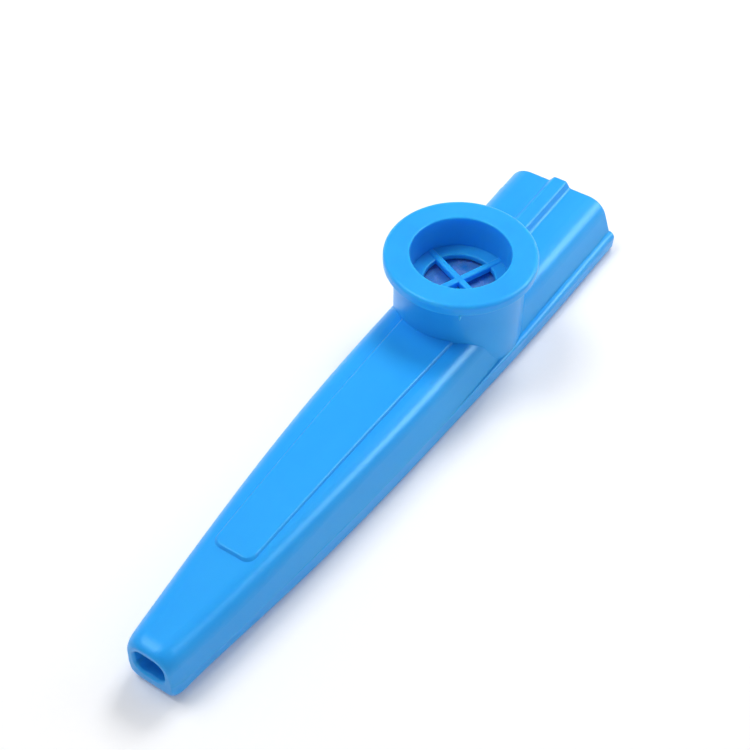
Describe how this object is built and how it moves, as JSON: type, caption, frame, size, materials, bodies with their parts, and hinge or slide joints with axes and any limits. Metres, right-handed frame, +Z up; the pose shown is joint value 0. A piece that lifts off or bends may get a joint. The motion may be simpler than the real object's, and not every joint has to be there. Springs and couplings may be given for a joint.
{
  "type": "kazoo",
  "caption": "Moulded plastic kazoo: a hollow tapered body with a mouth hole, an open tail and a raised turret whose push-in flanged cap holds a buzzing film under an X guard.",
  "frame": {"origin": "centre of the bounding box's underside, on the surface the kazoo lies on", "axes": "+X along the body from the mouth to the tail, +Y to the left when looking along +X, +Z up out of the turret"},
  "size_m": [0.12, 0.026, 0.021],
  "materials": {
    "blue_plastic": "smooth satin-gloss moulded plastic, slightly translucent at its edges",
    "film": "thin translucent whitish film"
  },
  "bodies": {
    "body": {"lower_shell": "blue_plastic", "upper_shell": "blue_plastic"},
    "cap": {"turret_cap": "blue_plastic"},
    "film": {"membrane": "film"}
  },
  "joints": [
    {"name": "cap_pull", "type": "slide", "parent": "body", "child": "cap", "axis": [0, 0, 1], "range_m": [0, 0.018]},
    {"name": "film_lift", "type": "slide", "parent": "body", "child": "film", "axis": [0, 0, 1], "range_m": [0, 0.009]}
  ],
  "couplings": [
    {"joint": "film_lift", "follows": "cap_pull", "ratio": 0.5}
  ]
}
